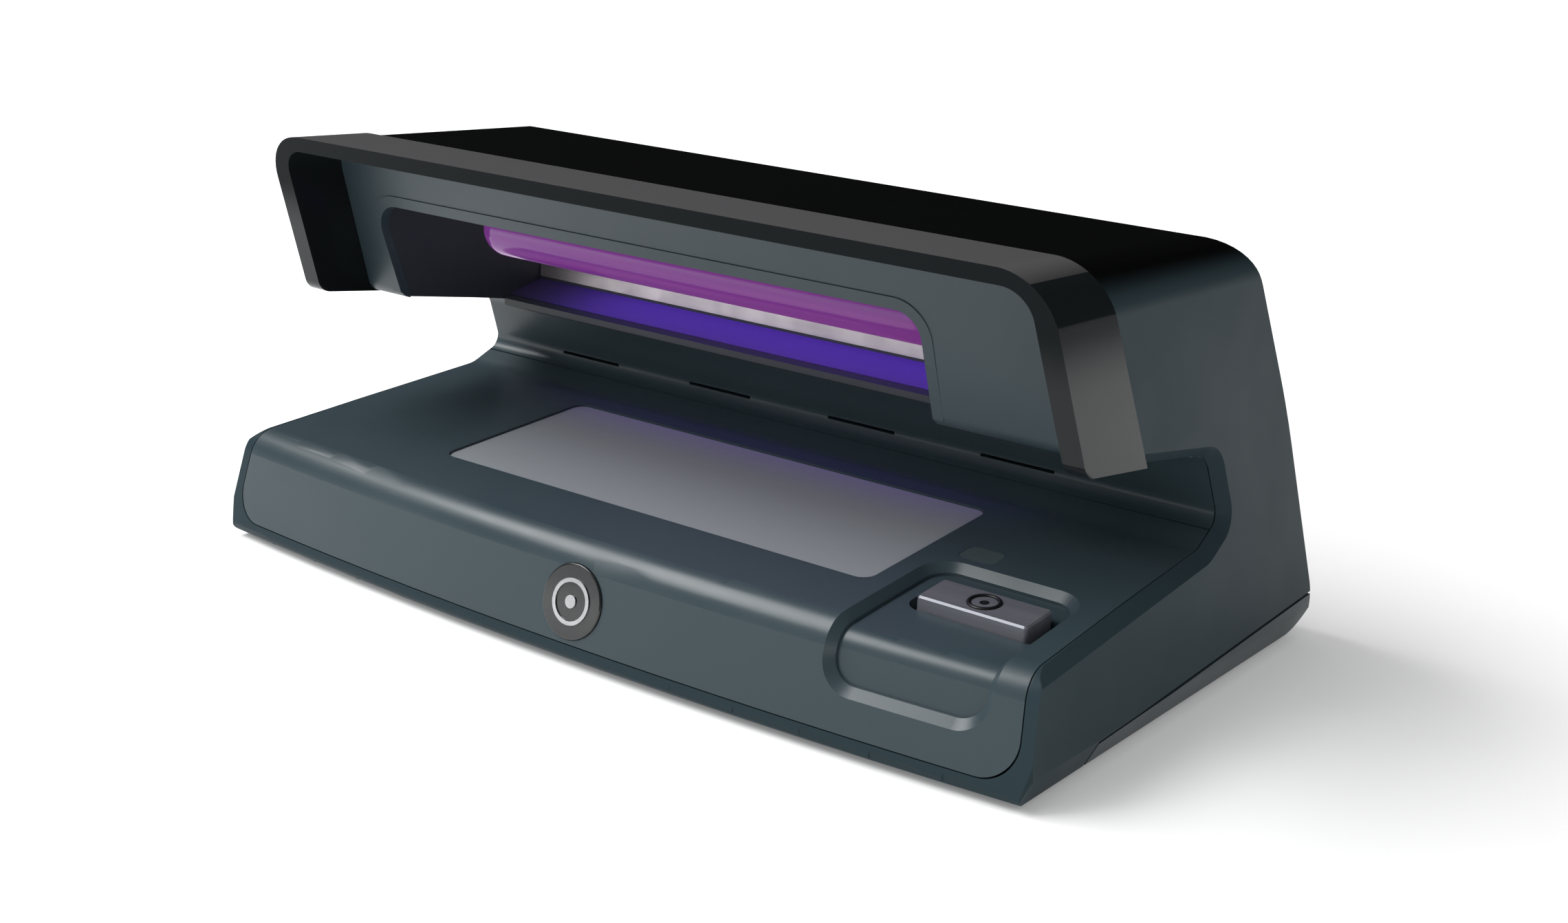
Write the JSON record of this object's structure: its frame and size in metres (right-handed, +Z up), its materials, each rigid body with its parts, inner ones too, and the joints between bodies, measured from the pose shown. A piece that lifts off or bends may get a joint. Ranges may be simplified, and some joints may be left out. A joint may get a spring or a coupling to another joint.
{
  "type": "counterfeit bill detector",
  "caption": "Counter-top banknote checker: C-shaped housing with an ultraviolet lamp in the hood over a backlit deck and a power key.",
  "frame": {"origin": "centre of the footprint on the surface that the detector stands on", "axes": "+X across the front towards the power key, +Y from the operator's side to the rear, +Z up"},
  "size_m": [0.2076, 0.1252, 0.09],
  "materials": {
    "housing_plastic": "satin",
    "base_plastic": "matt",
    "gloss_black": "gloss",
    "chamber_plastic": "matt",
    "reflector_metal": "bright",
    "lamp_glass": "clear",
    "white_plastic": "matt",
    "brass": "bright",
    "steel": "satin",
    "spring_steel": "satin",
    "rubber": "matt",
    "label_metal": "satin",
    "frosted_plastic": "frosted",
    "clear_plastic": "clear",
    "circuit_board": "satin",
    "led_white": "gloss",
    "indicator_plastic": "satin",
    "button_metal": "satin",
    "capacitor_sleeve": "gloss",
    "ferrite": "matt",
    "tape": "satin",
    "chip_plastic": "matt",
    "aluminium": "satin",
    "wire_sleeve": "satin",
    "wire_sleeve_dark": "satin"
  },
  "bodies": {
    "housing": {"main_housing": "housing_plastic", "deck_cover": "housing_plastic", "column_panel": "housing_plastic", "base_cover": "base_plastic", "front_bezel": "gloss_black", "lamp_panel": "housing_plastic", "lamp_chamber": "chamber_plastic", "reflector": "reflector_metal", "uv_lamp_tubes": "lamp_glass", "lamp_cap": "white_plastic", "lamp_pins": "brass", "lamp_holder": "white_plastic", "holder_screws": "steel", "lamp_clip": "spring_steel", "rubber_feet": "rubber", "base_screws": "steel", "rating_plate": "label_metal", "backlight_window": "frosted_plastic", "light_guide": "clear_plastic", "backlight_tray": "white_plastic", "led_board": "circuit_board", "backlight_leds": "led_white", "indicator_window": "indicator_plastic", "indicator_led": "led_white", "button_guide": "chamber_plastic", "power_switch": "chamber_plastic", "switch_board": "circuit_board", "control_board": "circuit_board", "board_screws": "steel", "capacitors": "capacitor_sleeve", "transformer_core": "ferrite", "transformer_coil": "tape", "board_chips": "chip_plastic", "heat_sink": "aluminium", "board_connectors": "white_plastic", "dc_jack": "chip_plastic", "jack_pin": "brass", "lamp_wires": "wire_sleeve", "power_wires": "wire_sleeve_dark", "switch_wires": "wire_sleeve", "front_badge": "gloss_black", "badge_emblem": "label_metal"},
    "button": {"power_button": "button_metal", "switch_plunger": "white_plastic", "button_spring": "spring_steel"}
  },
  "joints": [
    {"name": "button_press", "type": "slide", "parent": "housing", "child": "button", "axis": [0, 0, -1], "range_m": [0, 0.0015], "stiffness_N_per_m": 800, "springref_m": -0.0006, "deforming": ["button_spring"]}
  ]
}
